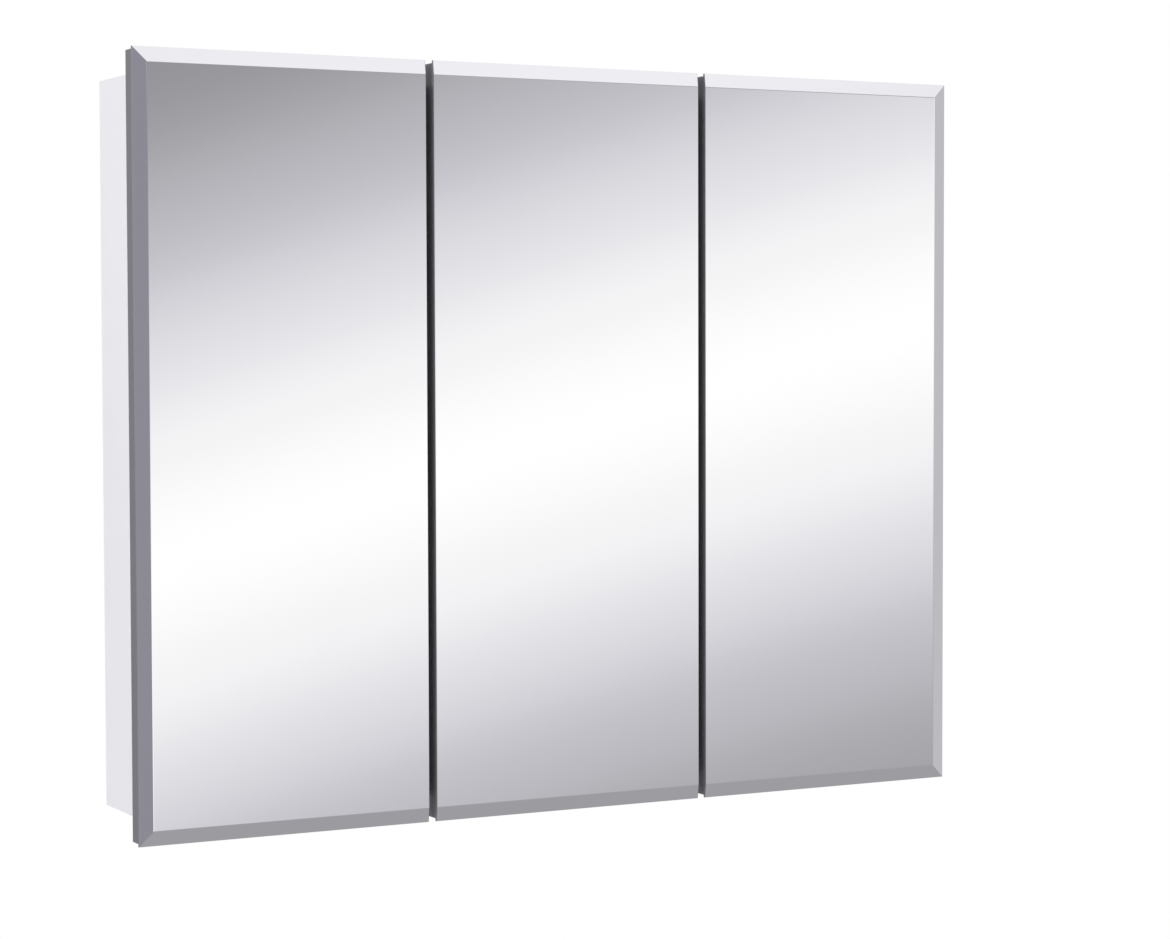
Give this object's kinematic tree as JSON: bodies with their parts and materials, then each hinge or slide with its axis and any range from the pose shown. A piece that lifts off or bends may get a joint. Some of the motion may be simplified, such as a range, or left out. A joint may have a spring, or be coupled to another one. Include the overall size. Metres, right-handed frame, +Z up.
{
  "type": "medicine cabinet",
  "caption": "Surface-mounted medicine cabinet with bevelled full-height mirror doors on concealed hinges, a white case with dividers and shelves on pins behind them.",
  "frame": {"origin": "centre of the four wall-screw holes, on the plane of the wall at mid width and mid height", "axes": "+X along the cabinet to the viewer's right, +Y into the wall, +Z up; the mirrors face -Y"},
  "size_m": [0.9144, 0.1207, 0.7494],
  "materials": {
    "white_board": "white melamine facing, satin",
    "shelf_board": "white melamine facing, satin",
    "back_board": "white-faced hardboard, matt",
    "rail_wood": "planed softwood, bare",
    "dowel_wood": "fluted beech, bare",
    "mirror_glass": "silvered float glass, polished bevels",
    "mounting_tape": "closed-cell foam tape",
    "door_board": "white-faced fibreboard, satin",
    "door_edging": "grey edge band, satin",
    "hinge_steel": "bright nickel plate",
    "hinge_cup_steel": "bright nickel plate",
    "pin_steel": "ground steel",
    "screw_steel": "zinc plate",
    "strike_steel": "zinc plate",
    "shelf_pin_steel": "nickel plate",
    "catch_plastic": "white moulded plastic",
    "magnet": "ferrite between steel poles",
    "bumper_rubber": "clear polyurethane"
  },
  "bodies": {
    "case": {"back_panel": "back_board", "bottom_hanging_rail": "rail_wood", "bottom_panel": "white_board", "carcass_dowels": "dowel_wood", "catch_housings": "catch_plastic", "catch_magnets": "magnet", "catch_screws": "screw_steel", "centre_lower_hinge_arm": "hinge_steel", "centre_lower_hinge_plate": "hinge_steel", "centre_lower_shelf": "shelf_board", "centre_upper_hinge_arm": "hinge_steel", "centre_upper_hinge_plate": "hinge_steel", "centre_upper_shelf": "shelf_board", "door_bumpers": "bumper_rubber", "hinge_arm_screws": "screw_steel", "hinge_pins": "pin_steel", "hinge_plate_screws": "screw_steel", "left_divider": "white_board", "left_lower_hinge_arm": "hinge_steel", "left_lower_hinge_plate": "hinge_steel", "left_lower_shelf": "shelf_board", "left_side_panel": "white_board", "left_upper_hinge_arm": "hinge_steel", "left_upper_hinge_plate": "hinge_steel", "left_upper_shelf": "shelf_board", "right_divider": "white_board", "right_lower_hinge_arm": "hinge_steel", "right_lower_hinge_plate": "hinge_steel", "right_lower_shelf": "shelf_board", "right_side_panel": "white_board", "right_upper_hinge_arm": "hinge_steel", "right_upper_hinge_plate": "hinge_steel", "right_upper_shelf": "shelf_board", "shelf_pins": "shelf_pin_steel", "top_hanging_rail": "rail_wood", "top_panel": "white_board"},
    "left_door": {"left_door_board": "door_board", "left_door_edging": "door_edging", "left_door_screws": "screw_steel", "left_lower_hinge_cup": "hinge_cup_steel", "left_mirror": "mirror_glass", "left_mirror_tape": "mounting_tape", "left_strike_plate": "strike_steel", "left_upper_hinge_cup": "hinge_cup_steel"},
    "centre_door": {"centre_door_board": "door_board", "centre_door_edging": "door_edging", "centre_door_screws": "screw_steel", "centre_lower_hinge_cup": "hinge_cup_steel", "centre_mirror": "mirror_glass", "centre_mirror_tape": "mounting_tape", "centre_strike_plate": "strike_steel", "centre_upper_hinge_cup": "hinge_cup_steel"},
    "right_door": {"right_door_board": "door_board", "right_door_edging": "door_edging", "right_door_screws": "screw_steel", "right_lower_hinge_cup": "hinge_cup_steel", "right_mirror": "mirror_glass", "right_mirror_tape": "mounting_tape", "right_strike_plate": "strike_steel", "right_upper_hinge_cup": "hinge_cup_steel"}
  },
  "joints": [
    {"name": "left_door_hinge", "type": "hinge", "parent": "case", "child": "left_door", "pos_m": [-0.4497, -0.10905, 0], "axis": [0, 0, -1], "range_deg": [0, 95]},
    {"name": "centre_door_hinge", "type": "hinge", "parent": "case", "child": "centre_door", "pos_m": [0.14223, -0.10905, 0], "axis": [0, 0, 1], "range_deg": [0, 95]},
    {"name": "right_door_hinge", "type": "hinge", "parent": "case", "child": "right_door", "pos_m": [0.4497, -0.10905, 0], "axis": [0, 0, 1], "range_deg": [0, 95]}
  ]
}
